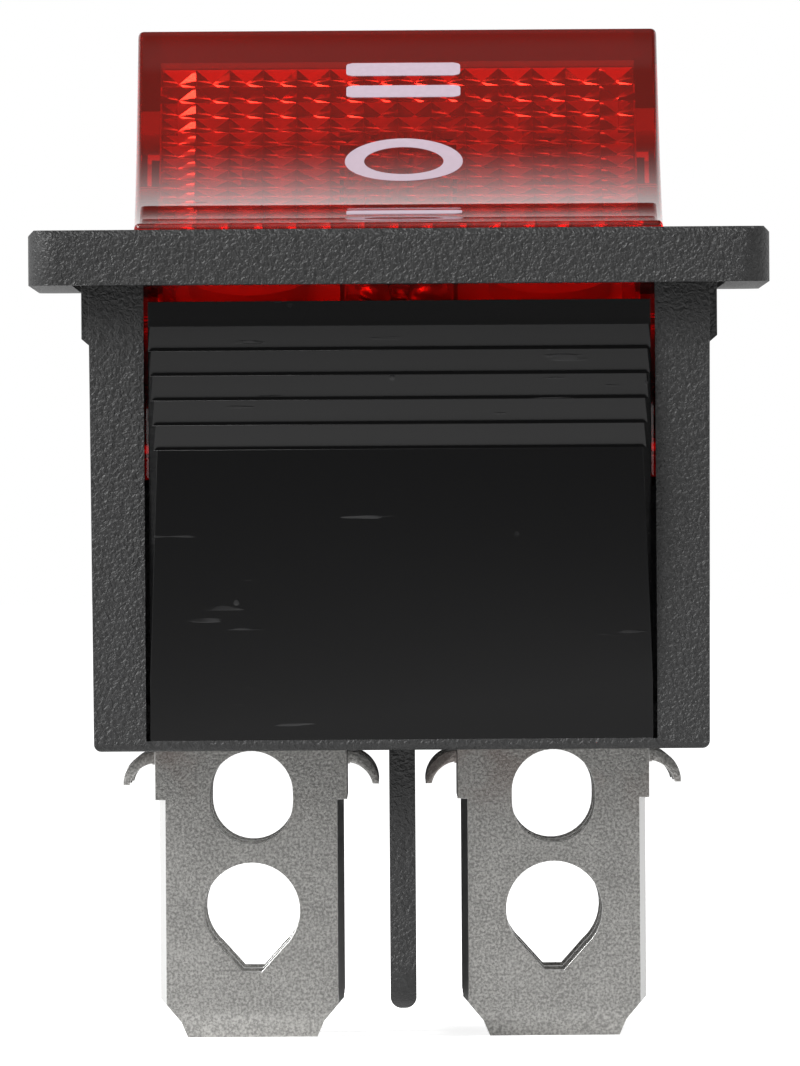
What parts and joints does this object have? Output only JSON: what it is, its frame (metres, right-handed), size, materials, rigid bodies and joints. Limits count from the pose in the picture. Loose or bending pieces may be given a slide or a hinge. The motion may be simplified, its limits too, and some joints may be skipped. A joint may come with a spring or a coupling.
{
  "type": "panel rocker switch",
  "caption": "Snap-in panel rocker switch with a lit three-position rocker, two change-over poles and push-on tab terminals.",
  "frame": {"origin": "centre of the flange's underside, the face that seats on the panel", "axes": "+X across the rocker, +Y along the rocker towards its raised end, +Z out of the panel"},
  "size_m": [0.0254, 0.031, 0.0352],
  "materials": {
    "housing": "black moulding, fine spark texture, smooth latch faces",
    "rocker_cap": "clear red moulding, polished top, prisms beneath",
    "carrier": "natural moulding",
    "brass": "stamped and turned",
    "spring": "drawn wire",
    "contact": "silver contact rivets",
    "terminal": "tin plating with a fine sparkle",
    "lamp_glass": "clear glass bulb",
    "resistor": "lacquered ceramic body",
    "lead": "tinned wire"
  },
  "bodies": {
    "body": {"housing": "housing", "terminal_left_front": "terminal", "terminal_left_middle": "terminal", "terminal_left_rear": "terminal", "terminal_right_front": "terminal", "terminal_right_middle": "terminal", "terminal_right_rear": "terminal", "fixed_contact_left_front": "contact", "fixed_contact_left_rear": "contact", "fixed_contact_right_front": "contact", "fixed_contact_right_rear": "contact"},
    "rocker": {"rocker_cap": "rocker_cap", "rocker_carrier": "carrier", "spring_left": "spring", "spring_right": "spring", "neon_lamp": "lamp_glass", "lamp_resistor": "resistor", "lamp_lead_left": "lead", "lamp_lead_right": "lead"},
    "left_plunger": {"plunger_left": "brass"},
    "right_plunger": {"plunger_right": "brass"},
    "left_lever": {"lever_left": "brass", "moving_contact_left_front": "contact", "moving_contact_left_rear": "contact"},
    "right_lever": {"lever_right": "brass", "moving_contact_right_front": "contact", "moving_contact_right_rear": "contact"}
  },
  "joints": [
    {"name": "rocker_tilt", "type": "hinge", "parent": "body", "child": "rocker", "pos_m": [0, 0, -0.0016], "axis": [1, 0, 0], "range_deg": [-37.5, 0]},
    {"name": "left_lever_tilt", "type": "hinge", "parent": "body", "child": "left_lever", "pos_m": [-0.00523, 0, -0.00975], "axis": [1, 0, 0], "range_deg": [0, 18]},
    {"name": "right_lever_tilt", "type": "hinge", "parent": "body", "child": "right_lever", "pos_m": [0.00523, 0, -0.00975], "axis": [1, 0, 0], "range_deg": [0, 18]},
    {"name": "left_plunger_slide", "type": "slide", "parent": "rocker", "child": "left_plunger", "axis": [0, -0.3214, 0.9469], "range_m": [0, 0.0008], "stiffness_N_per_m": 400, "springref_m": -0.003, "deforming": ["spring_left"]},
    {"name": "right_plunger_slide", "type": "slide", "parent": "rocker", "child": "right_plunger", "axis": [0, -0.3214, 0.9469], "range_m": [0, 0.0008], "stiffness_N_per_m": 400, "springref_m": -0.003, "deforming": ["spring_right"]}
  ],
  "couplings": [
    {"joint": "left_lever_tilt", "follows": "rocker_tilt", "ratio": -0.48},
    {"joint": "right_lever_tilt", "follows": "rocker_tilt", "ratio": -0.48}
  ]
}
